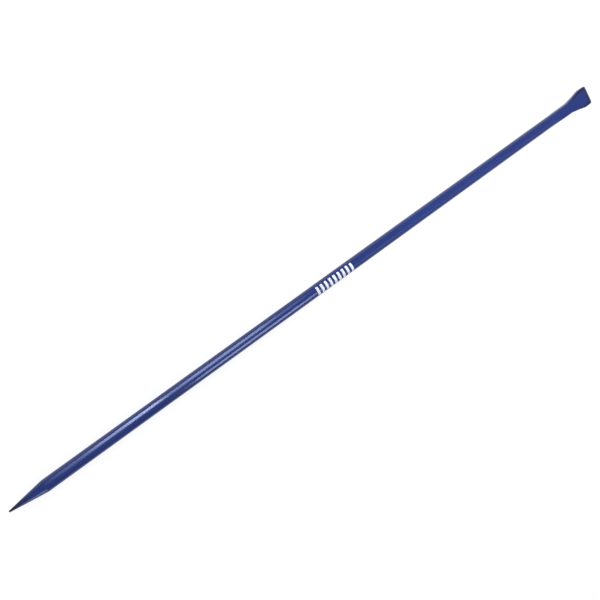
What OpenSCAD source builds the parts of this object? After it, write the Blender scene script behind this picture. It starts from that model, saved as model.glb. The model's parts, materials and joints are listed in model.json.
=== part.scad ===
// Digging bar: a round steel bar with a tapered point at one end and a flared
// chisel blade at the other.
// The bar lies along X on the plane z = 0, with the tip of the point at -X and
// the cutting edge at +X. The blade is widest along Y.

/* [Bar] */
// Overall length, from the tip of the point to the cutting edge
bar_length = 1500; // [900:10:2000]
// Diameter of the round shank
shank_d = 25; // [18:0.5:36]

/* [Point] */
// Length of the point, from its tip to the full diameter of the shank
point_length = 76; // [50:1:160]
// Radius of the blunted tip
tip_radius = 1.8; // [0.5:0.1:4]
// Radius that eases the taper into the shank
shoulder_radius = 30; // [20:1:150]

/* [Chisel] */
// Length of the forged end, from the round shank to the cutting edge
chisel_length = 130; // [90:1:220]
// Length of the flare, from the shank's width to the widest place of the blade
flare_length = 43.5; // [25:0.5:70]
// How hollow the flare's sides are: 1 is straight, and more is hollower
flare_curve = 1.3; // [1:0.1:3]
// How far the corner between the flare and the blade is rounded
flare_round = 2; // [0.5:0.1:6]
// Length of the blade, from its widest place to the cutting edge
blade_length = 22.5; // [16:0.5:50]
// Width of the blade at its widest place, before the flare's corner is rounded
blade_width = 42.5; // [38:0.5:70]
// Width of the blade at the cutting edge, before its corners are rounded
edge_width = 41; // [20:0.5:46]
// Radius of the two corners of the cutting edge
corner_radius = 4; // [0.5:0.1:8]
// Thickness of the blade at its widest place
blade_thickness = 10; // [7:0.1:16]
// Thickness of the blade where the ground bevels begin
bevel_thickness = 8; // [4:0.1:10]
// Length of the two ground bevels, along the bar
bevel_length = 6; // [2:0.1:14]
// Thickness left at the cutting edge
edge_thickness = 2; // [0.5:0.1:4]
// How square the blade's section is: 2 is an ellipse, and more is squarer
blade_squareness = 7; // [3:0.5:12]

/* [Hidden] */
$fn = 96;

// Places along the bar
shank_r = shank_d / 2;
tip_x = -bar_length / 2;
point_joint_x = tip_x + point_length;
chisel_joint_x = bar_length / 2 - chisel_length;
shank_length = chisel_joint_x - point_joint_x;

// The point's outline, as [radius, height above the tip]: the taper is the line
// that touches both the tip's circle and the shoulder's circle
tip_centre = [0, tip_radius];
shoulder_centre = [shank_r - shoulder_radius, point_length];
centres = shoulder_centre - tip_centre;
taper_angle = acos((tip_radius - shoulder_radius) / norm(centres)) - atan2(centres[1], centres[0]);
taper_normal = [cos(taper_angle), -sin(taper_angle)];
tip_tangent = tip_centre + tip_radius * taper_normal;
shoulder_tangent = shoulder_centre + shoulder_radius * taper_normal;
shoulder_end = [shank_r, point_length];
shoulder_corner = shoulder_end - [0, shoulder_radius * tan(taper_angle / 2)];

// Places along the chisel, from the joint with the shank
flare_start = chisel_length - blade_length - flare_length;
widest = chisel_length - blade_length;
bevel_start = chisel_length - bevel_length;
corner_start = chisel_length - corner_radius;
end_start = min(bevel_start, corner_start);
end_middle = max(bevel_start, corner_start);

// Sections along each stretch of the chisel, and points round each section
draw_steps = 9;
flare_steps = 16;
blade_steps = 5;
bevel_steps = 3;
corner_steps = 7;
section_points = 64;

// The shank's section is round, which is a squareness of 2
round_squareness = 2;

// 0 at a and 1 at b, in a straight line, and no more or less outside them
function share(a, b, x) = min(max((x - a) / (b - a), 0), 1);

// 0 before a, 1 after b, and a smooth S between them
function ease(a, b, x) =
    let (u = share(a, b, x))
    u * u * (3 - 2 * u);

// The smaller of a and b, eased where they are nearer to each other than r
function soft_min(a, b, r) =
    let (near = max(r - abs(a - b), 0) / r)
    min(a, b) - pow(near, 3) * r / 6;

// Half the width: the shank's, out along the flare, and in again to the edge
function half_width(x) =
    let (
        spread = blade_width / 2 - shank_r,
        flared = shank_r + spread * pow(max((x - flare_start) / flare_length, 0), flare_curve),
        drawn_in = (blade_width - edge_width) / 2 * pow(share(widest, chisel_length, x), 2),
        into_corner = max(x - corner_start, 0),
        cut_off = corner_radius - sqrt(max(pow(corner_radius, 2) - pow(into_corner, 2), 0))
    )
    soft_min(flared, blade_width / 2 - drawn_in, min(flare_round, spread)) - cut_off;

// Half the thickness: drawn down from the shank, then a slow taper, then the bevels
function half_thickness(x) =
    x < widest
        ? shank_r + (blade_thickness / 2 - shank_r) * ease(0, widest, x)
    : x < bevel_start
        ? (blade_thickness + (bevel_thickness - blade_thickness) * share(widest, bevel_start, x)) / 2
    : (bevel_thickness + (edge_thickness - bevel_thickness) * share(bevel_start, chisel_length, x)) / 2;

// The section goes from round to nearly square as the bar is hammered flat
function squareness(x) =
    round_squareness + (blade_squareness - round_squareness) * ease(0, widest, x);

// A number's power that keeps its sign
function signed_power(v, p) = sign(v) * pow(abs(v), p);

// One section of the chisel, as points on a plane square to the bar
function section(x) =
    let (p = round_squareness / squareness(x))
    [for (i = [0 : section_points - 1])
        let (a = 360 * i / section_points)
        [half_width(x) * signed_power(cos(a), p), half_thickness(x) * signed_power(sin(a), p), x]];

// Even steps from a up to, but not including, b
function steps(a, b, n) = [for (i = [0 : n - 1]) if (b > a) a + (b - a) * i / n];

// Steps from a to b that close up towards b, as the corners need
function closing_steps(a, b, n) = [for (i = [0 : n]) a + (b - a) * sin(90 * i / n)];

chisel_stations = concat(
    steps(0, flare_start, draw_steps),
    steps(flare_start, widest, flare_steps),
    steps(widest, end_start, blade_steps),
    steps(end_start, end_middle, bevel_steps),
    closing_steps(end_middle, chisel_length, corner_steps)
);

// A skin over rings of points, all with the same number of points, closed at both ends
module loft(rings) {
    n = len(rings[0]);
    last = len(rings) - 1;
    points = [for (ring = rings) each ring];
    sides = [for (j = [0 : last - 1], i = [0 : n - 1])
        let (k = (i + 1) % n, low = j * n, high = low + n)
        each [[low + i, high + i, high + k], [low + i, high + k, low + k]]];
    near_cap = [for (i = [1 : n - 2]) [0, i, i + 1]];
    far_cap = [for (i = [1 : n - 2]) [last * n, last * n + i + 1, last * n + i]];
    polyhedron(points, concat(near_cap, sides, far_cap));
}

// Places a child that is made along Z onto the bar's axis, starting at x
module on_axis(x) translate([x, 0, shank_r]) rotate([0, 90, 0]) children();

// Half of the point's outline, with true arcs at the tip and at the shoulder
module point_outline() {
    polygon([tip_centre, tip_tangent, shoulder_tangent, shoulder_end, [0, point_length]]);
    intersection() {
        translate(tip_centre) circle(tip_radius);
        square([tip_radius, 2 * tip_radius]);
    }
    intersection() {
        translate(shoulder_centre) circle(shoulder_radius);
        polygon([shoulder_tangent, shoulder_corner, shoulder_end]);
    }
}

// The pencil point that is driven into the ground
module pointed_end()
    color("royalblue")
    on_axis(tip_x)
    rotate_extrude() point_outline();

// The round bar that is held
module shank()
    color("royalblue")
    on_axis(point_joint_x)
    cylinder(r = shank_r, h = shank_length);

// The forged end, hammered flat and flared, with a bevel ground on each face
module chisel_end()
    color("royalblue")
    on_axis(chisel_joint_x)
    rotate([0, 0, 90])
    loft([for (x = chisel_stations) section(x)]);

pointed_end();
shank();
chisel_end();
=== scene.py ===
import json
import math

import bpy
from mathutils import Matrix, Quaternion, Vector


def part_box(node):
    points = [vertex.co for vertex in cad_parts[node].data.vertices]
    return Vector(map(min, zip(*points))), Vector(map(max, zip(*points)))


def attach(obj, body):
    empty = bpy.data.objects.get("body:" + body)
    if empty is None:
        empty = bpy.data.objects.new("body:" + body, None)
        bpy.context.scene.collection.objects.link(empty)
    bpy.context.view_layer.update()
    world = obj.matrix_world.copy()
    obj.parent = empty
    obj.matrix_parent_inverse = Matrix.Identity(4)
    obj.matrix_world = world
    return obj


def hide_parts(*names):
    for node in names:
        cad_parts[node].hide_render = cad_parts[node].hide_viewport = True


bl_info = {
    "name": "Digging Bar",
    "version": (1, 0, 0),
    "blender": (4, 5, 0),
    "location": "View3D > Sidebar > Digging Bar",
    "description": "Builds a painted steel digging bar with a point, a round shank and a chisel blade",
    "category": "Object",
}

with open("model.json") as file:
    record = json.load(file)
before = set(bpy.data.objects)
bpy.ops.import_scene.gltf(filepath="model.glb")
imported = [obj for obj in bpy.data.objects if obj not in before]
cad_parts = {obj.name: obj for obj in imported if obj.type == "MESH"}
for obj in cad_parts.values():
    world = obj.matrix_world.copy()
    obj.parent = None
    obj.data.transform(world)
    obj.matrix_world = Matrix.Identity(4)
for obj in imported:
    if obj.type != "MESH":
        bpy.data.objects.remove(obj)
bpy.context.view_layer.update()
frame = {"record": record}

# What the frame says: the whole box, each node's box, and the round stock's radius and height
POINT_LOW, POINT_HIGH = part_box("pointed_end")
SHANK_LOW, SHANK_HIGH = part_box("shank")
CHISEL_LOW, CHISEL_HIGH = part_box("chisel_end")
SHANK_MOUNT = frame["record"]["mounts"][0]
MM_PER_METRE = 1000
STOCK_RADIUS = SHANK_MOUNT["dims"]["r_mm"] / MM_PER_METRE
AXIS_HEIGHT = SHANK_MOUNT["pos_m"][2]


class DiggingBarSizes(bpy.types.PropertyGroup):
    """Sizes of the forged bar"""

    stock_radius: bpy.props.FloatProperty(
        name="Stock radius",
        description="Radius of the round stock that the bar is forged from",
        default=STOCK_RADIUS,
        unit="LENGTH",
        subtype="DISTANCE",
        precision=4,
    )
    tip_radius: bpy.props.FloatProperty(
        name="Tip radius",
        description="Radius of the blunted tip of the point",
        default=0.0018,
        unit="LENGTH",
        subtype="DISTANCE",
        precision=4,
    )
    shoulder_radius: bpy.props.FloatProperty(
        name="Shoulder radius",
        description="Radius that eases the taper into the shank",
        default=0.03,
        unit="LENGTH",
        subtype="DISTANCE",
        precision=4,
    )
    flare_length: bpy.props.FloatProperty(
        name="Flare length",
        description="From the shank's width to the widest place of the blade",
        default=0.0435,
        unit="LENGTH",
        subtype="DISTANCE",
        precision=4,
    )
    flare_curve: bpy.props.FloatProperty(
        name="Flare curve",
        description="How hollow the flare's sides are: 1 is straight, and more is hollower",
        default=1.3,
        min=1,
        max=3,
    )
    flare_round: bpy.props.FloatProperty(
        name="Flare round",
        description="How far the corner between the flare and the blade is rounded",
        default=0.002,
        unit="LENGTH",
        subtype="DISTANCE",
        precision=4,
    )
    blade_length: bpy.props.FloatProperty(
        name="Blade length",
        description="From the widest place of the blade to the cutting edge",
        default=0.0225,
        unit="LENGTH",
        subtype="DISTANCE",
        precision=4,
    )
    blade_width: bpy.props.FloatProperty(
        name="Blade width",
        description="Width of the blade at its widest place, before the flare's corner is rounded",
        default=0.0425,
        unit="LENGTH",
        subtype="DISTANCE",
        precision=4,
    )
    edge_width: bpy.props.FloatProperty(
        name="Edge width",
        description="Width at the cutting edge, before its corners are rounded",
        default=0.041,
        unit="LENGTH",
        subtype="DISTANCE",
        precision=4,
    )
    corner_radius: bpy.props.FloatProperty(
        name="Corner radius",
        description="Radius of the two corners of the cutting edge",
        default=0.004,
        unit="LENGTH",
        subtype="DISTANCE",
        precision=4,
    )
    blade_thickness: bpy.props.FloatProperty(
        name="Blade thickness",
        description="Thickness of the blade at its widest place",
        default=0.01,
        unit="LENGTH",
        subtype="DISTANCE",
        precision=4,
    )
    bevel_thickness: bpy.props.FloatProperty(
        name="Bevel thickness",
        description="Thickness of the blade where the ground bevels begin",
        default=0.008,
        unit="LENGTH",
        subtype="DISTANCE",
        precision=4,
    )
    bevel_length: bpy.props.FloatProperty(
        name="Bevel length",
        description="Length of the ground bevels along the bar",
        default=0.006,
        unit="LENGTH",
        subtype="DISTANCE",
        precision=4,
    )
    edge_thickness: bpy.props.FloatProperty(
        name="Edge thickness",
        description="Thickness left at the cutting edge",
        default=0.002,
        unit="LENGTH",
        subtype="DISTANCE",
        precision=4,
    )
    arris_radius: bpy.props.FloatProperty(
        name="Arris radius",
        description="Radius that the paint leaves on the cutting edge",
        default=0.0005,
        unit="LENGTH",
        subtype="DISTANCE",
        precision=5,
    )
    blade_squareness: bpy.props.FloatProperty(
        name="Blade squareness",
        description="How square the blade's section is: 2 is an ellipse, and more is squarer",
        default=7,
        min=2,
        max=12,
    )
    forging_depth: bpy.props.FloatProperty(
        name="Forging depth",
        description="How far the hammered ends stand above and below a true surface",
        default=0.00025,
        unit="LENGTH",
        subtype="DISTANCE",
        precision=5,
    )
    rolling_depth: bpy.props.FloatProperty(
        name="Rolling depth",
        description="How far the rolled shank stands above and below a true round",
        default=0.00006,
        unit="LENGTH",
        subtype="DISTANCE",
        precision=5,
    )


class DiggingBarMarks(bpy.types.PropertyGroup):
    """Sizes of the printed strokes on the shank"""

    count: bpy.props.IntProperty(
        name="Strokes",
        description="How many strokes are printed",
        default=9,
        min=1,
        max=40,
    )
    start: bpy.props.FloatProperty(
        name="Start",
        description="Place of the first stroke's middle along the bar",
        default=-0.0465,
        unit="LENGTH",
        subtype="DISTANCE",
        precision=4,
    )
    pitch: bpy.props.FloatProperty(
        name="Pitch",
        description="Distance from one stroke to the next",
        default=0.0109,
        unit="LENGTH",
        subtype="DISTANCE",
        precision=4,
    )
    width: bpy.props.FloatProperty(
        name="Stroke width",
        description="Width of a stroke along the bar",
        default=0.0056,
        unit="LENGTH",
        subtype="DISTANCE",
        precision=4,
    )
    length: bpy.props.FloatProperty(
        name="Stroke length",
        description="Length of a stroke round the bar",
        default=0.02,
        unit="LENGTH",
        subtype="DISTANCE",
        precision=4,
    )
    corner: bpy.props.FloatProperty(
        name="Stroke corner",
        description="Radius of a stroke's corners",
        default=0.0012,
        unit="LENGTH",
        subtype="DISTANCE",
        precision=4,
    )
    turn: bpy.props.FloatProperty(
        name="Turn",
        description="How far the strokes' middle is turned from the top of the bar towards +Y",
        default=math.radians(-5.6),
        unit="ROTATION",
        subtype="ANGLE",
    )
    depth: bpy.props.FloatProperty(
        name="Ink thickness",
        description="How far the ink stands above the paint",
        default=0.00008,
        unit="LENGTH",
        subtype="DISTANCE",
        precision=5,
    )


class DiggingBarPaint(bpy.types.PropertyGroup):
    """Colours and gloss of the paint and the ink"""

    enamel: bpy.props.FloatVectorProperty(
        name="Enamel",
        description="Colour of the blue enamel",
        default=(0.0255, 0.043, 0.173),
        size=3,
        min=0,
        max=1,
        subtype="COLOR",
    )
    # Dark colour of thinned enamel over steel, also used as painted shade on the tip, the ground bevels
    # and the long arrises
    thin_enamel_and_shade: bpy.props.FloatVectorProperty(
        name="Thin enamel",
        description="Colour where the enamel is thin over dark steel",
        default=(0.021, 0.018, 0.022),
        size=3,
        min=0,
        max=1,
        subtype="COLOR",
    )
    ink: bpy.props.FloatVectorProperty(
        name="Ink",
        description="Colour of the printed strokes",
        default=(0.82, 0.83, 0.84),
        size=3,
        min=0,
        max=1,
        subtype="COLOR",
    )
    roughness: bpy.props.FloatProperty(
        name="Roughness",
        description="Roughness of the enamel where it is glossiest",
        default=0.08,
        min=0,
        max=1,
        subtype="FACTOR",
    )


class DiggingBarStage(bpy.types.PropertyGroup):
    """Camera, floor and surroundings"""

    lens: bpy.props.FloatProperty(
        name="Lens",
        description="Focal length on a 36 mm sensor, in millimetres",
        default=52.32,
    )
    aim: bpy.props.FloatVectorProperty(
        name="Aim",
        description="The place that the camera looks at",
        default=(-0.08546, 0.00321, AXIS_HEIGHT),
        size=3,
        unit="LENGTH",
        subtype="TRANSLATION",
    )
    distance: bpy.props.FloatProperty(
        name="Distance",
        description="From the aim to the camera",
        default=1.73215,
        unit="LENGTH",
        subtype="DISTANCE",
    )
    azimuth: bpy.props.FloatProperty(
        name="Azimuth",
        description="Turn of the camera round the bar, from looking along +Y",
        default=math.radians(-133.2),
        unit="ROTATION",
        subtype="ANGLE",
    )
    elevation: bpy.props.FloatProperty(
        name="Elevation",
        description="Height of the camera above the floor, as an angle",
        default=math.radians(66.9),
        unit="ROTATION",
        subtype="ANGLE",
    )
    roll: bpy.props.FloatProperty(
        name="Roll",
        description="Turn of the camera about its own line of sight",
        default=math.radians(99.8),
        unit="ROTATION",
        subtype="ANGLE",
    )
    floor: bpy.props.FloatVectorProperty(
        name="Floor",
        description="Colour of the floor",
        default=(0.2, 0.2, 0.2),
        size=3,
        min=0,
        max=1,
        subtype="COLOR",
    )
    floor_glow: bpy.props.FloatProperty(
        name="Floor glow",
        description="How far the floor is lifted towards white where it is seen",
        default=0.86,
        min=0,
        max=1,
        subtype="FACTOR",
    )
    horizon: bpy.props.FloatProperty(
        name="Horizon",
        description="Level of the room at the height of the floor, where the floor runs out into it",
        default=0.89,
        min=0,
        max=1,
        subtype="FACTOR",
    )
    lower_wall: bpy.props.FloatProperty(
        name="Lower wall",
        description="Level of the room a little above the horizon",
        default=0.35,
        min=0,
        max=1,
        subtype="FACTOR",
    )
    surroundings: bpy.props.FloatProperty(
        name="Surroundings",
        description="Level of the room from there up",
        default=0.12,
        min=0,
        max=1,
        subtype="FACTOR",
    )
    blade_lamp: bpy.props.FloatProperty(
        name="Blade lamp",
        description="Power of the soft lamp that fills the blade's half of the bar, in watts",
        default=51.0,
        min=0,
    )


# How the nodes of a tree are set out: steps across and down, and how many stand in a row
NODE_STEP = (220, -260)
NODES_IN_ROW = 10


class Wire:
    """One value in a node tree, so that a rule can be written as a sum"""

    def __init__(self, tree, socket):
        self.tree = tree
        self.socket = socket

    def math(self, operation, *others):
        """This value and others, put through one Math node"""
        node = add_node(self.tree, "ShaderNodeMath", operation=operation)
        plug(self.tree, (self,) + others, node.inputs)
        return Wire(self.tree, node.outputs[0])

    def __add__(self, other):
        return self.math("ADD", other)

    def __sub__(self, other):
        return self.math("SUBTRACT", other)

    def __mul__(self, other):
        return self.math("MULTIPLY", other)

    def __truediv__(self, other):
        return self.math("DIVIDE", other)

    def __pow__(self, other):
        return self.math("POWER", other)

    def __neg__(self):
        return self.math("MULTIPLY", -1)

    def size(self):
        """The value without its sign"""
        return self.math("ABSOLUTE")

    def root(self):
        """The square root, and 0 for what is less than 0"""
        return self.most(0).math("SQRT")

    def rest(self):
        """What is left of 1"""
        return -self + 1

    def least(self, other):
        return self.math("MINIMUM", other)

    def most(self, other):
        return self.math("MAXIMUM", other)

    def below(self, other):
        return self.math("LESS_THAN", other)

    def share(self, low, high, interpolation="LINEAR"):
        """0 at low and 1 at high, and no more or less outside them"""
        node = add_node(self.tree, "ShaderNodeMapRange", interpolation_type=interpolation)
        plug(self.tree, (self, low, high), node.inputs)
        return Wire(self.tree, node.outputs[0])

    def ease(self, low, high):
        """0 before low, 1 after high, and a smooth S between them"""
        return self.share(low, high, "SMOOTHSTEP")


def add_node(tree, kind, **settings):
    """Adds a node in the next free place of the tree"""
    node = tree.nodes.new(kind)
    row, column = divmod(len(tree.nodes) - 1, NODES_IN_ROW)
    node.location = (NODE_STEP[0] * column, NODE_STEP[1] * row)
    for name, value in settings.items():
        setattr(node, name, value)
    return node


def plug(tree, values, sockets):
    """Links each wire to its socket, and writes each plain value into it"""
    for value, socket in zip(values, sockets):
        if isinstance(value, Wire):
            tree.links.new(value.socket, socket)
        else:
            socket.default_value = value


def plug_named(tree, node, values):
    """Plugs values into a node's inputs by name, where _ stands for a space"""
    for label, value in values.items():
        plug(tree, [value], [node.inputs[label.replace("_", " ")]])


def field(tree, kind):
    """What a node of this kind reads at each point"""
    return Wire(tree, add_node(tree, kind).outputs[0])


def parts_of(tree, vector):
    """The three numbers of a vector"""
    node = add_node(tree, "ShaderNodeSeparateXYZ")
    plug(tree, [vector], node.inputs)
    return [Wire(tree, socket) for socket in node.outputs]


def vector_of(tree, x, y, z):
    """A vector of three numbers"""
    node = add_node(tree, "ShaderNodeCombineXYZ")
    plug(tree, [x, y, z], node.inputs)
    return Wire(tree, node.outputs[0])


def vector_math(tree, operation, first, second):
    """Two vectors put together, or a vector and a number where the operation is SCALE"""
    node = add_node(tree, "ShaderNodeVectorMath", operation=operation)
    plug(tree, [first], node.inputs)
    plug(tree, [second], [node.inputs["Scale"] if operation == "SCALE" else node.inputs[1]])
    return Wire(tree, node.outputs[0])


def noise(tree, vector, scale, detail, seed):
    """A soft random value between 0 and 1, the same on every run, with so many waves to a metre"""
    node = add_node(tree, "ShaderNodeTexNoise", noise_dimensions="4D")
    names = ("Vector", "W", "Scale", "Detail")
    plug(tree, [vector, seed, scale, detail], [node.inputs[name] for name in names])
    return Wire(tree, node.outputs[0])


# How finely the skins are divided, round the bar and along each piece
POINTS_ROUND = 192
POINT_RINGS = 110
SHANK_RINGS = 214
CHISEL_RINGS = 150

# Points of one printed stroke along the bar, round it and through the ink
STROKE_POINTS = (5, 41, 2)

# Edges that bend by more than this stay sharp
CORNER_ANGLE = math.radians(40)

# Distances from the axis count as at least this, so that nothing is divided by 0
LEAST_REACH = 1e-9

# The unit cylinder's ends lie this far from its middle, which is at 0
CYLINDER_END = 0.5

# How far the corner between the blade and its bevel is rounded
BEVEL_ROUND = 0.0008

# The attributes that say where the paint is thinned and where shade is painted, and how much the steel
# was hammered
THIN_PAINT_AND_SHADE = "thin_paint"
HAMMERED = "hammered"

# Dents of the hammer and the rolls, drawn out along the bar: how many to a metre, and a seed
DENT_DRAWING = (0.45, 1.0, 1.0)
DENT_DETAIL = 3.0
POINT_DENTS = (60.0, 3.1)
SHANK_DENTS = (45.0, 5.7)
CHISEL_DENTS = (55.0, 8.3)

# Stretches over which the dents come in: from the tip, from each joint, and from the start of the bevels
TIP_FADE = 0.02
POINT_JOINT_FADE = 0.03
SHANK_JOINT_FADE = 0.04
CHISEL_JOINT_FADE = 0.04
BEVEL_FADE = (-0.001, 0.006)

# Stretches over which thinned paint grows full: from the tip, the cutting edge and the start of the
# bevels; on the tip and the bevels the darkening is painted shade as well
TIP_THIN_AND_SHADE = (-0.004, 0.078)
EDGE_THIN = (0.0004, 0.004)
BEVEL_THIN_AND_SHADE = (0.001, 0.005)

# The long arrises, darkened too as thinned paint and painted shade: how near to a corner of the section,
# and how far along the chisel
ARRIS_THIN_AND_SHADE = (0.57, 0.8)
ARRIS_START = (0.05, 0.1)

# How dark the bevels and the arrises are drawn, as thinned paint and painted shade, where 1 is the
# cutting edge
BEVEL_THIN_AND_SHADE_SHARE = 0.85
ARRIS_THIN_AND_SHADE_SHARE = 0.8


def start_rule(name, lengths, counts=()):
    """Starts a geometry tree with a named input for each size, and gives the tree and its inputs"""
    tree = bpy.data.node_groups.new(name, "GeometryNodeTree")
    kinds = [(label, "NodeSocketFloat") for label in lengths]
    kinds += [(label, "NodeSocketInt") for label in counts]
    kinds += [("Finish", "NodeSocketMaterial")]
    for label, kind in kinds:
        tree.interface.new_socket(label, in_out="INPUT", socket_type=kind)
    tree.interface.new_socket("Geometry", in_out="OUTPUT", socket_type="NodeSocketGeometry")
    inputs = add_node(tree, "NodeGroupInput")
    return tree, {label: Wire(tree, inputs.outputs[label]) for label, kind in kinds}


def geometry_step(tree, kind, geometry, settings=None, **values):
    """Adds a node that takes geometry and hands it on"""
    node = add_node(tree, kind, **(settings or {}))
    plug(tree, [geometry], node.inputs)
    plug_named(tree, node, values)
    return Wire(tree, node.outputs[0])


def finish_rule(tree, geometry, finish):
    """Smooths the skin up to its true corners and ends the tree"""
    angle = add_node(tree, "GeometryNodeInputMeshEdgeAngle")
    corner = Wire(tree, angle.outputs["Unsigned Angle"]).math("GREATER_THAN", CORNER_ANGLE)
    smooth = geometry_step(tree, "GeometryNodeSetShadeSmooth", geometry, {"domain": "FACE"},
                           Shade_Smooth=True)
    split = geometry_step(tree, "GeometryNodeSetShadeSmooth", smooth, {"domain": "EDGE"},
                          Selection=corner, Shade_Smooth=False)
    real = geometry_step(tree, "GeometryNodeRealizeInstances", split)
    dressed = geometry_step(tree, "GeometryNodeSetMaterial", real, Material=finish)
    output = add_node(tree, "NodeGroupOutput")
    plug(tree, [dressed], output.inputs)


def forged_skin(tree, geometry, place, thin_and_shade, hammered, depth, dents):
    """Notes thinned paint and painted shade, and hammered steel, on a skin, moves it to its rule's
    places, and dents it
    """
    noted = geometry
    for name, value in ((THIN_PAINT_AND_SHADE, thin_and_shade), (HAMMERED, hammered)):
        noted = geometry_step(tree, "GeometryNodeStoreNamedAttribute", noted,
                              {"data_type": "FLOAT", "domain": "POINT"}, Name=name, Value=value)
    placed = geometry_step(tree, "GeometryNodeSetPosition", noted, Position=place)
    position = field(tree, "GeometryNodeInputPosition")
    normal = field(tree, "GeometryNodeInputNormal")
    kept = add_node(tree, "GeometryNodeInputNamedAttribute", data_type="FLOAT")
    plug(tree, [HAMMERED], [kept.inputs["Name"]])
    drawn = vector_math(tree, "MULTIPLY", position, DENT_DRAWING)
    scale, seed = dents
    uneven = noise(tree, drawn, scale, DENT_DETAIL, seed) * 2 - 1
    offset = vector_math(tree, "SCALE", normal, uneven * depth * Wire(tree, kept.outputs["Attribute"]))
    return geometry_step(tree, "GeometryNodeSetPosition", placed, Offset=offset)


def tube(tree, kind, rings, **radii):
    """A closed unit tube along Z, with each point's two places across it and its place along it"""
    node = add_node(tree, kind, fill_type="NGON")
    plug(tree, [POINTS_ROUND, rings], [node.inputs["Vertices"], node.inputs["Side Segments"]])
    plug_named(tree, node, {"Depth": 1.0, **radii})
    position = field(tree, "GeometryNodeInputPosition")
    return Wire(tree, node.outputs["Mesh"]), parts_of(tree, position)


def point_rule():
    """The pencil point: a taper that touches the tip's circle and the shoulder's circle"""
    names = ("Joint", "Length", "Axis Height", "Stock Radius", "Tip Radius", "Shoulder Radius",
             "Forging Depth")
    tree, size = start_rule("Point Rule", names)
    joint, length, axis, stock, tip, shoulder, depth = [size[name] for name in names]
    mesh, (up, side, level) = tube(tree, "GeometryNodeMeshCone", POINT_RINGS,
                                   Radius_Bottom=1.0, Radius_Top=0.0)
    reach = (up * up + side * side).root().most(LEAST_REACH)
    # Height above the tip, with rings that close up towards it
    height = length * level.rest() ** 2
    # From the tip circle's centre to the shoulder circle's centre, and the taper between them
    across = stock - shoulder
    upward = length - tip
    apart = (across * across + upward * upward).root()
    taper = ((tip - shoulder) / apart).math("ARCCOSINE") - upward.math("ARCTAN2", across)
    lean = taper.math("COSINE")
    drop = taper.math("SINE")
    tip_top = tip - tip * drop
    shoulder_foot = length - shoulder * drop
    # The radius on each of the three stretches
    on_tip = (tip * tip - (tip - height) ** 2).root()
    on_taper = tip * lean + (height - tip_top) * drop / lean
    on_shoulder = across + (shoulder * shoulder - (length - height) ** 2).root()
    in_tip = height.below(tip_top)
    in_taper = height.below(shoulder_foot) - in_tip
    in_shoulder = height.below(shoulder_foot).rest()
    radius = on_tip * in_tip + on_taper * in_taper + on_shoulder * in_shoulder
    place = vector_of(tree, joint - length + height, radius * side / reach, axis + radius * up / reach)
    # Darker towards the tip: thinned paint, with painted shade where the tip's dark edges meet
    thin_and_shade = height.ease(*TIP_THIN_AND_SHADE).rest()
    hammered = height.ease(0.0, TIP_FADE) * (length - height).ease(0.0, POINT_JOINT_FADE)
    skin = forged_skin(tree, mesh, place, thin_and_shade, hammered, depth, POINT_DENTS)
    finish_rule(tree, skin, size["Finish"])
    return tree


def shank_rule():
    """The round bar, a little uneven as it comes from the rolls, with full paint all over"""
    names = ("Start", "Length", "Axis Height", "Stock Radius", "Rolling Depth")
    tree, size = start_rule("Shank Rule", names)
    start, length, axis, stock, depth = [size[name] for name in names]
    mesh, (side, up, level) = tube(tree, "GeometryNodeMeshCylinder", SHANK_RINGS, Radius=1.0)
    along = length * (level + CYLINDER_END)
    place = vector_of(tree, start + along, stock * side, axis + stock * up)
    thin_and_shade = level * 0
    rolled = along.ease(0.0, SHANK_JOINT_FADE) * (length - along).ease(0.0, SHANK_JOINT_FADE)
    skin = forged_skin(tree, mesh, place, thin_and_shade, rolled, depth, SHANK_DENTS)
    finish_rule(tree, skin, size["Finish"])
    return tree


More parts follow.
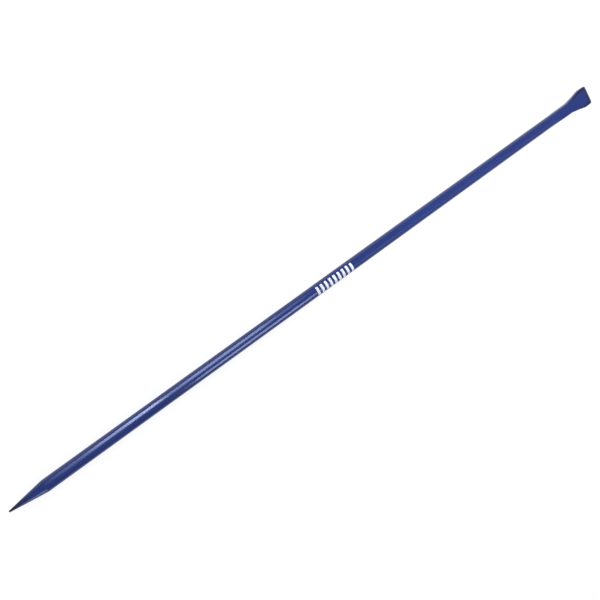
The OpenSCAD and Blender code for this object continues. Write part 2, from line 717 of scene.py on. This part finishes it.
def chisel_rule():
    """The forged end: round stock hammered flat, flared to the blade and ground to two bevels"""
    names = ("Joint", "Length", "Axis Height", "Stock Radius", "Flare Length", "Flare Curve",
             "Flare Round", "Blade Length", "Blade Width", "Edge Width", "Corner Radius",
             "Blade Thickness", "Bevel Thickness", "Bevel Length", "Edge Thickness", "Arris Radius",
             "Blade Squareness", "Forging Depth")
    tree, size = start_rule("Chisel Rule", names)
    joint, length, axis, stock = [size[name] for name in names[:4]]
    corner = size["Corner Radius"]
    arris = size["Arris Radius"]
    bevel = size["Bevel Length"]
    mesh, (side, up, level) = tube(tree, "GeometryNodeMeshCylinder", CHISEL_RINGS, Radius=1.0)
    # Distance to the cutting edge, with rings that close up towards it
    to_edge = length * (-level + CYLINDER_END) ** 2
    along = length - to_edge
    widest = length - size["Blade Length"]
    bevel_start = length - bevel
    # Half the width: out along the flare, in again to the edge, and round the corners
    flare = ((along - widest) / size["Flare Length"] + 1).most(0) ** size["Flare Curve"]
    flared = stock + flare * (size["Blade Width"] / 2 - stock)
    drawn_in = along.share(widest, length) ** 2 * (size["Blade Width"] - size["Edge Width"]) / 2
    blade = size["Blade Width"] / 2 - drawn_in
    cut_off = corner - (corner * corner - (corner - to_edge).most(0) ** 2).root()
    rounded = arris - (arris * arris - (arris - to_edge).most(0) ** 2).root()
    half_width = flared.math("SMOOTH_MIN", blade, size["Flare Round"]) - cut_off - rounded
    # Half the thickness: drawn down from the stock, a slow taper, and the bevel
    drawn_down = stock + (size["Blade Thickness"] / 2 - stock) * along.ease(0.0, widest)
    slow = (size["Blade Thickness"] - size["Bevel Thickness"]) / 2 * along.share(widest, bevel_start)
    slope = (size["Bevel Thickness"] - size["Edge Thickness"]) / 2 / bevel
    ground = size["Edge Thickness"] / 2 + slope * to_edge
    half_thickness = (drawn_down - slow).math("SMOOTH_MIN", ground, BEVEL_ROUND) - rounded
    # The section goes from round, which is a power of 2, to nearly square
    power = (size["Blade Squareness"] - 2) * along.ease(0.0, widest) + 2
    reach = (side.size() ** power + up.size() ** power) ** -(power ** -1)
    place = vector_of(tree, joint + along, half_width * reach * side, axis + half_thickness * reach * up)
    # Paint is thinned on the cutting edge, and the ground bevels and the long arrises are darkened as
    # thinned paint and painted shade
    behind_bevel = to_edge - bevel
    on_edge = to_edge.ease(*EDGE_THIN).rest()
    on_bevel = behind_bevel.ease(*BEVEL_THIN_AND_SHADE).rest()
    to_corner = (side * up).size() * (reach * reach)
    on_arris = to_corner.ease(*ARRIS_THIN_AND_SHADE) * along.ease(*ARRIS_START)
    thin_and_shade = on_edge.most(on_bevel * BEVEL_THIN_AND_SHADE_SHARE).most(on_arris * ARRIS_THIN_AND_SHADE_SHARE)
    hammered = along.ease(0.0, CHISEL_JOINT_FADE) * behind_bevel.ease(*BEVEL_FADE)
    skin = forged_skin(tree, mesh, place, thin_and_shade, hammered, size["Forging Depth"], CHISEL_DENTS)
    finish_rule(tree, skin, size["Finish"])
    return tree


def stroke_rule():
    """Printed strokes: one thin curved block with round corners, repeated along the bar"""
    names = ("Start", "Pitch", "Width", "Length", "Corner", "Turn", "Ink Thickness", "Axis Height",
             "Stock Radius")
    tree, size = start_rule("Stroke Rule", names, ("Count",))
    start, pitch, width, length, corner, turn, ink, axis, stock = [size[name] for name in names]
    block = add_node(tree, "GeometryNodeMeshCube")
    plug(tree, [(1.0, 1.0, 1.0), *STROKE_POINTS], block.inputs)
    position = field(tree, "GeometryNodeInputPosition")
    x, y, z = parts_of(tree, position)
    # Rows close up towards both ends, where the corners are
    row = (y * math.pi).math("SINE") / 2
    past = (row.size() * length - length / 2 + corner).most(0).least(corner)
    narrowing = corner - (corner * corner - past * past).root()
    across = x * (width - narrowing * 2)
    radius = stock + ink * (z * 2)
    angle = turn + row * length / stock
    bent = vector_of(tree, across, radius * angle.math("SINE"), axis + radius * angle.math("COSINE"))
    stroke = geometry_step(tree, "GeometryNodeSetPosition", Wire(tree, block.outputs["Mesh"]),
                           Position=bent)
    line = add_node(tree, "GeometryNodeMeshLine", mode="OFFSET")
    first = vector_of(tree, start, 0.0, 0.0)
    step = vector_of(tree, pitch, 0.0, 0.0)
    plug(tree, [size["Count"], first, step],
         [line.inputs[n] for n in ("Count", "Start Location", "Offset")])
    row_of_strokes = geometry_step(tree, "GeometryNodeInstanceOnPoints", Wire(tree, line.outputs["Mesh"]),
                                   Instance=stroke)
    finish_rule(tree, row_of_strokes, size["Finish"])
    return tree


def add_object(name, data):
    """Puts a new object with this data into the scene"""
    thing = bpy.data.objects.new(name, data)
    bpy.context.scene.collection.objects.link(thing)
    return thing


def grow(name, tree, values):
    """Runs a rule with its sizes and keeps the result as a plain mesh at the origin"""
    seed = bpy.data.meshes.new(name + "_seed")
    piece = add_object(name, seed)
    modifier = piece.modifiers.new(tree.name, "NODES")
    modifier.node_group = tree
    for socket in tree.interface.items_tree:
        if socket.in_out == "INPUT":
            modifier[socket.identifier] = values[socket.name]
    depsgraph = bpy.context.evaluated_depsgraph_get()
    grown = bpy.data.meshes.new_from_object(piece.evaluated_get(depsgraph), preserve_all_data_layers=True,
                                            depsgraph=depsgraph)
    piece.modifiers.remove(modifier)
    piece.data = grown
    bpy.data.meshes.remove(seed)
    grown.name = name
    if not grown.polygons:
        raise RuntimeError(name + " came out empty")
    return piece


# Patches in a paint's tone: small ones to a large one, the noise that shows each, and their weights
SMALL_TO_LARGE = 9
LARGE_PATCHES = (0.35, 0.7)
SMALL_PATCHES = (0.4, 0.75)
LARGE_WEIGHT = 0.7
SMALL_WEIGHT = 0.3

# Orange peel, drawn out along the bar: fine waves to a metre, broad ones to a fine one, weights, depth
FINE_PEEL = 420.0
PEEL_DRAWING = (0.7, 1.0, 1.0)
BROAD_TO_FINE = 0.3
FINE_WEIGHT = 0.5
BROAD_WEIGHT = 0.5
PEEL_DEPTH = 0.000008

# Dull places and grit in a film: how many to a metre, the noise that shows them, and their roughness
DULL_SCALE = 24.0
DULL_PLACES = (0.4, 0.8)
DULL_ROUGHNESS = 0.05
GRIT_SCALE = 900.0
GRIT_PLACES = (0.62, 0.78)
GRIT_ROUGHNESS = 0.03

# Wear: the middle of noise, how far noise breaks up its edge, how soft that is, and where it starts
NOISE_MIDDLE = 0.5
WEAR_BREAK = 0.7
WEAR_EDGE = (0.25, 0.95)
WEAR_START = (0.0, 0.15)

# Enamel: its deep colour as a share of its own, patches and worn specks to a metre, and how it mirrors
ENAMEL_DEEP_SHARE = 0.86
ENAMEL_PATCHES = 7.0
ENAMEL_SPECKS = 260.0
ENAMEL_IOR = 1.48
ENAMEL_TINT = (0.72, 0.8, 1.0)

# Worn enamel, with the painted shade of the tip, bevels and arrises: how far its colour turns, the
# roughness added, and its drop as a share of the peel
WORN_AND_SHADE_COLOUR_SHARE = 0.8
WORN_ROUGHNESS = 0.12
WORN_DROP_SHARE = 0.6

# Ink: its deep colour as a share of its own, patches and worn specks to a metre, and how it shines
INK_DEEP_SHARE = 0.9
INK_PATCHES = 60.0
INK_SPECKS = 420.0
INK_ROUGHNESS = 0.42
INK_IOR = 1.45

# Rubbed ink: places to a metre, the noise that shows them, and how far its colour turns
RUBBED_SCALE = 110.0
RUBBED_PLACES = (0.58, 0.85)
RUBBED_COLOUR_SHARE = 0.7

# The Mix node's own numbers for its factor, its two colours and the colour that comes out
MIX_INPUTS = (0, 6, 7)
MIX_OUTPUT = 2


def start_group(name, inputs, outputs):
    """Starts a shader node group, and gives the tree and its inputs"""
    tree = bpy.data.node_groups.new(name, "ShaderNodeTree")
    for label, kind in inputs:
        tree.interface.new_socket(label, in_out="INPUT", socket_type=kind)
    for label, kind in outputs:
        tree.interface.new_socket(label, in_out="OUTPUT", socket_type=kind)
    source = add_node(tree, "NodeGroupInput")
    return tree, [Wire(tree, source.outputs[label]) for label, kind in inputs]


def end_group(tree, *wires):
    """Ends a shader node group with its outputs in order"""
    output = add_node(tree, "NodeGroupOutput")
    plug(tree, wires, output.inputs)


def mix_colours(tree, factor, first, second):
    """One colour turned into another by a factor"""
    node = add_node(tree, "ShaderNodeMix", data_type="RGBA")
    plug(tree, [factor, first, second], [node.inputs[number] for number in MIX_INPUTS])
    return Wire(tree, node.outputs[MIX_OUTPUT])


def paint_tone():
    """Shader group: a colour that is a little deeper in soft patches, as brushed or dipped paint is"""
    name = "Paint Tone"
    if name in bpy.data.node_groups:
        return bpy.data.node_groups[name]
    inputs = [("Vector", "NodeSocketVector"), ("Colour", "NodeSocketColor"),
              ("Deep Colour", "NodeSocketColor"), ("Patches", "NodeSocketFloat")]
    tree, (vector, colour, deep, patches) = start_group(name, inputs, [("Colour", "NodeSocketColor")])
    large = noise(tree, vector, patches, detail=3.0, seed=1.4).share(*LARGE_PATCHES)
    small = noise(tree, vector, patches * SMALL_TO_LARGE, detail=2.0, seed=2.9).share(*SMALL_PATCHES)
    end_group(tree, mix_colours(tree, large * LARGE_WEIGHT + small * SMALL_WEIGHT, colour, deep))
    return tree


def paint_film():
    """Shader group: the orange peel of a sprayed film, and a roughness that varies above its least"""
    name = "Paint Film"
    if name in bpy.data.node_groups:
        return bpy.data.node_groups[name]
    inputs = [("Vector", "NodeSocketVector"), ("Peel", "NodeSocketFloat"),
              ("Least Roughness", "NodeSocketFloat")]
    outputs = [("Height", "NodeSocketFloat"), ("Roughness", "NodeSocketFloat")]
    tree, (vector, peel, glossiest) = start_group(name, inputs, outputs)
    drawn = vector_math(tree, "MULTIPLY", vector, PEEL_DRAWING)
    fine = noise(tree, drawn, peel, detail=1.0, seed=4.2)
    broad = noise(tree, drawn, peel * BROAD_TO_FINE, detail=2.0, seed=6.6)
    height = fine * FINE_WEIGHT + broad * BROAD_WEIGHT
    dull = noise(tree, vector, DULL_SCALE, detail=3.0, seed=7.3).share(*DULL_PLACES)
    grit = noise(tree, vector, GRIT_SCALE, detail=1.0, seed=9.1).share(*GRIT_PLACES)
    end_group(tree, height, glossiest + dull * DULL_ROUGHNESS + grit * GRIT_ROUGHNESS)
    return tree


def paint_wear():
    """Shader group: a mask of broken patches that grows where a given value is high"""
    name = "Paint Wear"
    if name in bpy.data.node_groups:
        return bpy.data.node_groups[name]
    inputs = [("Vector", "NodeSocketVector"), ("Amount", "NodeSocketFloat"), ("Scale", "NodeSocketFloat")]
    tree, (vector, amount, scale) = start_group(name, inputs, [("Mask", "NodeSocketFloat")])
    broken = noise(tree, vector, scale, detail=4.0, seed=3.6)
    worn = (amount + (broken - NOISE_MIDDLE) * WEAR_BREAK).ease(*WEAR_EDGE)
    end_group(tree, worn * amount.ease(*WEAR_START))
    return tree


def place_group(tree, group, **values):
    """Puts a shader group into a material and gives its outputs by name"""
    node = add_node(tree, "ShaderNodeGroup", node_tree=group)
    plug_named(tree, node, values)
    return {socket.name: Wire(tree, socket) for socket in node.outputs}


def start_material(name):
    """An empty node material with its shader, its output and Object coordinates"""
    material = bpy.data.materials.new(name)
    material.use_nodes = True
    tree = material.node_tree
    tree.nodes.clear()
    shader = add_node(tree, "ShaderNodeBsdfPrincipled")
    output = add_node(tree, "ShaderNodeOutputMaterial")
    tree.links.new(shader.outputs[0], output.inputs["Surface"])
    coordinates = add_node(tree, "ShaderNodeTexCoord")
    return material, tree, shader, Wire(tree, coordinates.outputs["Object"])


def bump(tree, height, distance, shader):
    """Lets a height stand on a shader's surface"""
    node = add_node(tree, "ShaderNodeBump")
    node.inputs["Strength"].default_value = 1.0
    node.inputs["Distance"].default_value = distance
    plug(tree, [height], [node.inputs["Height"]])
    tree.links.new(node.outputs["Normal"], shader.inputs["Normal"])


def rgba(colour):
    """A colour with its alpha"""
    return (*colour, 1.0)


def blue_enamel(paint):
    """Glossy blue enamel over forged steel, darker and duller where it is thinned and where shade is
    painted on the tip, the ground bevels and the long arrises
    """
    name = "Blue Enamel"
    if name in bpy.data.materials:
        return bpy.data.materials[name]
    material, tree, shader, vector = start_material(name)
    deep = [value * ENAMEL_DEEP_SHARE for value in paint.enamel]
    tone = place_group(tree, paint_tone(), Vector=vector, Colour=rgba(paint.enamel),
                       Deep_Colour=rgba(deep), Patches=ENAMEL_PATCHES)["Colour"]
    film = place_group(tree, paint_film(), Vector=vector, Peel=FINE_PEEL, Least_Roughness=paint.roughness)
    attribute = add_node(tree, "ShaderNodeAttribute", attribute_name=THIN_PAINT_AND_SHADE)
    thin_and_shade = Wire(tree, attribute.outputs["Fac"])
    # This mask carries thinned paint and painted shade on the tip, the ground bevels and the long
    # arrises, which darken towards the dark thinned-enamel colour
    wear = place_group(tree, paint_wear(), Vector=vector, Amount=thin_and_shade, Scale=ENAMEL_SPECKS)["Mask"]
    colour = mix_colours(tree, wear * WORN_AND_SHADE_COLOUR_SHARE, tone, rgba(paint.thin_enamel_and_shade))
    plug(tree, [colour, film["Roughness"] + wear * WORN_ROUGHNESS],
         [shader.inputs["Base Color"], shader.inputs["Roughness"]])
    shader.inputs["IOR"].default_value = ENAMEL_IOR
    shader.inputs["Specular Tint"].default_value = rgba(ENAMEL_TINT)
    bump(tree, film["Height"] - wear * WORN_DROP_SHARE, PEEL_DEPTH, shader)
    return material


def white_ink(paint):
    """White printing ink, a little rubbed, on the enamel"""
    name = "White Ink"
    if name in bpy.data.materials:
        return bpy.data.materials[name]
    material, tree, shader, vector = start_material(name)
    deep = [value * INK_DEEP_SHARE for value in paint.ink]
    tone = place_group(tree, paint_tone(), Vector=vector, Colour=rgba(paint.ink),
                       Deep_Colour=rgba(deep), Patches=INK_PATCHES)["Colour"]
    film = place_group(tree, paint_film(), Vector=vector, Peel=FINE_PEEL, Least_Roughness=INK_ROUGHNESS)
    rubbed = noise(tree, vector, RUBBED_SCALE, detail=3.0, seed=8.8).share(*RUBBED_PLACES)
    wear = place_group(tree, paint_wear(), Vector=vector, Amount=rubbed, Scale=INK_SPECKS)["Mask"]
    colour = mix_colours(tree, wear * RUBBED_COLOUR_SHARE, tone, rgba(paint.enamel))
    plug(tree, [colour, film["Roughness"]], [shader.inputs["Base Color"], shader.inputs["Roughness"]])
    shader.inputs["IOR"].default_value = INK_IOR
    bump(tree, film["Height"], PEEL_DEPTH, shader)
    return material


class DIGGING_BAR_OT_pointed_end(bpy.types.Operator):
    """Draws the end of the bar down to its point"""

    bl_idname = "digging_bar.pointed_end"
    bl_label = "Pointed End"

    def execute(self, context):
        sizes = context.scene.digging_bar_sizes
        piece = grow("painted_point", point_rule(), {
            "Joint": POINT_HIGH.x,
            "Length": POINT_HIGH.x - POINT_LOW.x,
            "Axis Height": AXIS_HEIGHT,
            "Stock Radius": sizes.stock_radius,
            "Tip Radius": sizes.tip_radius,
            "Shoulder Radius": sizes.shoulder_radius,
            "Forging Depth": sizes.forging_depth,
            "Finish": blue_enamel(context.scene.digging_bar_paint),
        })
        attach(piece, "root")
        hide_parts("pointed_end")
        return {"FINISHED"}


class DIGGING_BAR_OT_shank(bpy.types.Operator):
    """Rolls the round shank between the two ends"""

    bl_idname = "digging_bar.shank"
    bl_label = "Shank"

    def execute(self, context):
        sizes = context.scene.digging_bar_sizes
        piece = grow("painted_shank", shank_rule(), {
            "Start": SHANK_LOW.x,
            "Length": SHANK_HIGH.x - SHANK_LOW.x,
            "Axis Height": AXIS_HEIGHT,
            "Stock Radius": sizes.stock_radius,
            "Rolling Depth": sizes.rolling_depth,
            "Finish": blue_enamel(context.scene.digging_bar_paint),
        })
        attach(piece, "root")
        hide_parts("shank")
        return {"FINISHED"}


class DIGGING_BAR_OT_chisel_end(bpy.types.Operator):
    """Hammers the other end flat, flares it and grinds its bevels"""

    bl_idname = "digging_bar.chisel_end"
    bl_label = "Chisel End"

    def execute(self, context):
        sizes = context.scene.digging_bar_sizes
        piece = grow("painted_chisel", chisel_rule(), {
            "Joint": CHISEL_LOW.x,
            "Length": CHISEL_HIGH.x - CHISEL_LOW.x,
            "Axis Height": AXIS_HEIGHT,
            "Stock Radius": sizes.stock_radius,
            "Flare Length": sizes.flare_length,
            "Flare Curve": sizes.flare_curve,
            "Flare Round": sizes.flare_round,
            "Blade Length": sizes.blade_length,
            "Blade Width": sizes.blade_width,
            "Edge Width": sizes.edge_width,
            "Corner Radius": sizes.corner_radius,
            "Blade Thickness": sizes.blade_thickness,
            "Bevel Thickness": sizes.bevel_thickness,
            "Bevel Length": sizes.bevel_length,
            "Edge Thickness": sizes.edge_thickness,
            "Arris Radius": sizes.arris_radius,
            "Blade Squareness": sizes.blade_squareness,
            "Forging Depth": sizes.forging_depth,
            "Finish": blue_enamel(context.scene.digging_bar_paint),
        })
        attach(piece, "root")
        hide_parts("chisel_end")
        return {"FINISHED"}


class DIGGING_BAR_OT_printed_strokes(bpy.types.Operator):
    """Prints a row of plain white strokes on the middle of the shank"""

    bl_idname = "digging_bar.printed_strokes"
    bl_label = "Printed Strokes"

    def execute(self, context):
        sizes = context.scene.digging_bar_sizes
        marks = context.scene.digging_bar_marks
        piece = grow("printed_strokes", stroke_rule(), {
            "Start": marks.start,
            "Pitch": marks.pitch,
            "Width": marks.width,
            "Length": marks.length,
            "Corner": marks.corner,
            "Turn": marks.turn,
            "Ink Thickness": marks.depth,
            "Axis Height": AXIS_HEIGHT,
            "Stock Radius": sizes.stock_radius,
            "Count": marks.count,
            "Finish": white_ink(context.scene.digging_bar_paint),
        })
        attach(piece, "root")
        return {"FINISHED"}


# The floor's reach from the origin each way, and its level, a hair below the bar's uneven skin
FLOOR_REACH = 30.0
FLOOR_LEVEL = -0.0003

# Sides that softboxes hang on, in degrees: round the bar from +Y over the top, and half their spread
KEY_SIDE = (41, 21)
RIM_SIDE = (71, 9)
FRONT_SIDE = (127, 19)
POINT_SIDE = (153, 21)

# Softboxes: name, side, stretch along X in metres, radiance
SOFTBOX_DISTANCE = 5.0
SOFTBOX_COLOUR = (0.93, 0.97, 1.1)
SOFTBOXES = (
    ("softbox_left_end", KEY_SIDE, (-0.86, -0.55), 2.8),
    ("softbox_left", KEY_SIDE, (-0.55, -0.22), 9.0),
    ("softbox_key", KEY_SIDE, (-0.22, 0.09), 15.8),
    ("softbox_dip", KEY_SIDE, (0.09, 0.25), 1.8),
    ("softbox_middle", KEY_SIDE, (0.25, 1.1), 8.0),
    ("softbox_middle_end", KEY_SIDE, (1.1, 1.45), 2.6),
    ("softbox_rim", RIM_SIDE, (-0.86, 1.1), 1.4),
    ("softbox_point", POINT_SIDE, (-2.9, -1.6), 2.7),
    ("softbox_front", FRONT_SIDE, (0.37, 1.57), 7.2),
    ("softbox_front_end", FRONT_SIDE, (1.57, 2.4), 1.0),
    ("softbox_front_far", FRONT_SIDE, (2.4, 5.0), 0.55),
)

# The blade's lamp: where it hangs and aims, its cone, how soft the cone's rim is, and the lamp's radius
BLADE_LAMP_PLACE = (-0.45, 0.25, 1.35)
BLADE_LAMP_AIM = (0.62, 0.0, AXIS_HEIGHT)
BLADE_LAMP_CONE = math.radians(40)
BLADE_LAMP_BLEND = 0.6
BLADE_LAMP_RADIUS = 0.25

# Angles above the horizon up to which the room's haze and its lower wall fade
HAZE_TOP = math.radians(7)
WALL_TOP = math.radians(18)

# Width of the camera's sensor, in millimetres
SENSOR_WIDTH = 36.0


def lay_floor(stage):
    """A wide pale floor that keeps the bar's shadow"""
    mesh = bpy.data.meshes.new("pale_floor")
    sides = [(-1, -1), (1, -1), (1, 1), (-1, 1)]
    corners = [(x * FLOOR_REACH, y * FLOOR_REACH, FLOOR_LEVEL) for x, y in sides]
    mesh.from_pydata(corners, [], [(0, 1, 2, 3)])
    material = bpy.data.materials.new("Pale Floor")
    material.use_nodes = True
    tree = material.node_tree
    tree.nodes.clear()
    matt = add_node(tree, "ShaderNodeBsdfDiffuse")
    matt.inputs["Color"].default_value = rgba(stage.floor)
    path = add_node(tree, "ShaderNodeLightPath")
    names = ("Is Camera Ray", "Is Glossy Ray", "Is Transmission Ray")
    rays = [Wire(tree, path.outputs[name]) for name in names]
    glow = add_node(tree, "ShaderNodeEmission")
    plug(tree, [rays[0].most(rays[1]).most(rays[2]) * stage.floor_glow], [glow.inputs["Strength"]])
    both = add_node(tree, "ShaderNodeAddShader")
    tree.links.new(matt.outputs[0], both.inputs[0])
    tree.links.new(glow.outputs[0], both.inputs[1])
    output = add_node(tree, "ShaderNodeOutputMaterial")
    tree.links.new(both.outputs[0], output.inputs["Surface"])
    mesh.materials.append(material)
    floor = add_object("pale_floor", mesh)


def facing(back, right):
    """The turn that puts an object's Z along back and its X along right"""
    up = back.cross(right)
    turned = [Vector(row) for row in zip(right, up, back)]
    return Matrix(turned).to_quaternion()


def hang_softbox(name, side, stretch, radiance):
    """A flat soft light that faces the bar from one side, unseen by the camera itself"""
    turn, spread = [math.radians(degrees) for degrees in side]
    low, high = stretch
    outward = Vector((0.0, math.cos(turn), math.sin(turn)))
    along = Vector((1.0, 0.0, 0.0))
    data = bpy.data.lights.new(name, "AREA")
    data.shape = "RECTANGLE"
    data.size = high - low
    data.size_y = 2 * SOFTBOX_DISTANCE * math.tan(spread)
    # The power that gives a flat light of this area its radiance
    data.energy = radiance * math.pi * data.size * data.size_y
    data.color = SOFTBOX_COLOUR
    light = add_object(name, data)
    light.location = outward * SOFTBOX_DISTANCE + Vector(((low + high) / 2, 0.0, AXIS_HEIGHT))
    light.rotation_mode = "QUATERNION"
    light.rotation_quaternion = facing(outward, along)
    light.visible_camera = False


def hang_blade_lamp(stage):
    """A soft lamp over the point's half that fills the blade's half"""
    data = bpy.data.lights.new("blade_lamp", "SPOT")
    data.energy = stage.blade_lamp
    data.spot_size = BLADE_LAMP_CONE
    data.spot_blend = BLADE_LAMP_BLEND
    data.shadow_soft_size = BLADE_LAMP_RADIUS
    light = add_object("blade_lamp", data)
    light.location = BLADE_LAMP_PLACE
    light.rotation_mode = "QUATERNION"
    light.rotation_quaternion = (Vector(BLADE_LAMP_AIM) - light.location).to_track_quat("-Z", "Y")
    light.visible_camera = False


def fill_room(stage):
    """A grey room round the bar, paler towards the floor"""
    world = bpy.data.worlds.new("Grey Room")
    world.use_nodes = True
    tree = world.node_tree
    background = tree.nodes["Background"]
    coordinates = add_node(tree, "ShaderNodeTexCoord")
    height = parts_of(tree, Wire(tree, coordinates.outputs["Generated"]))[2]
    wall = height.ease(0.0, math.sin(WALL_TOP)) * (stage.surroundings - stage.lower_wall)
    haze = height.ease(0.0, math.sin(HAZE_TOP)) * (stage.lower_wall - stage.horizon)
    level = wall + haze + stage.horizon
    plug(tree, [(1.0, 1.0, 1.0, 1.0), level], background.inputs)
    bpy.context.scene.world = world


def set_camera(stage):
    """The camera, turned about the bar as the photograph shows it"""
    data = bpy.data.cameras.new("camera")
    data.sensor_width = SENSOR_WIDTH
    data.lens = stage.lens
    camera = add_object("camera", data)
    back = Vector((
        math.sin(stage.azimuth) * math.cos(stage.elevation),
        -math.cos(stage.azimuth) * math.cos(stage.elevation),
        math.sin(stage.elevation),
    ))
    camera.location = Vector(stage.aim) + back * stage.distance
    camera.rotation_mode = "QUATERNION"
    upright = (-back).to_track_quat("-Z", "Y")
    camera.rotation_quaternion = upright @ Quaternion((0.0, 0.0, 1.0), stage.roll)
    bpy.context.scene.camera = camera


class DIGGING_BAR_OT_stage(bpy.types.Operator):
    """Sets up the floor, the room, the soft light and the camera"""

    bl_idname = "digging_bar.stage"
    bl_label = "Stage"

    def execute(self, context):
        stage = context.scene.digging_bar_stage
        lay_floor(stage)
        fill_room(stage)
        for softbox in SOFTBOXES:
            hang_softbox(*softbox)
        hang_blade_lamp(stage)
        set_camera(stage)
        context.scene.view_settings.view_transform = "Standard"
        return {"FINISHED"}


class DIGGING_BAR_PT_panel(bpy.types.Panel):
    """Lists the steps that build the bar and the values that they use"""

    bl_idname = "DIGGING_BAR_PT_panel"
    bl_label = "Digging Bar"
    bl_space_type = "VIEW_3D"
    bl_region_type = "UI"
    bl_category = "Digging Bar"

    def draw(self, context):
        column = self.layout.column(align=True)
        for operator in OPERATORS:
            column.operator(operator.bl_idname)
        for store in STORES:
            group = getattr(context.scene, store)
            box = self.layout.box()
            for name in group.__annotations__:
                box.prop(group, name)


STORES = {
    "digging_bar_sizes": DiggingBarSizes,
    "digging_bar_marks": DiggingBarMarks,
    "digging_bar_paint": DiggingBarPaint,
    "digging_bar_stage": DiggingBarStage,
}
OPERATORS = (
    DIGGING_BAR_OT_pointed_end,
    DIGGING_BAR_OT_shank,
    DIGGING_BAR_OT_chisel_end,
    DIGGING_BAR_OT_printed_strokes,
    DIGGING_BAR_OT_stage,
)
CLASSES = (*STORES.values(), *OPERATORS, DIGGING_BAR_PT_panel)


def register():
    for cls in CLASSES:
        bpy.utils.register_class(cls)
    for store, group in STORES.items():
        setattr(bpy.types.Scene, store, bpy.props.PointerProperty(type=group))


def unregister():
    for store in STORES:
        delattr(bpy.types.Scene, store)
    for cls in reversed(CLASSES):
        bpy.utils.unregister_class(cls)


def main():
    register()
    bpy.ops.digging_bar.pointed_end()
    bpy.ops.digging_bar.shank()
    bpy.ops.digging_bar.chisel_end()
    bpy.ops.digging_bar.printed_strokes()
    bpy.ops.digging_bar.stage()


if __name__ == "__main__":
    main()
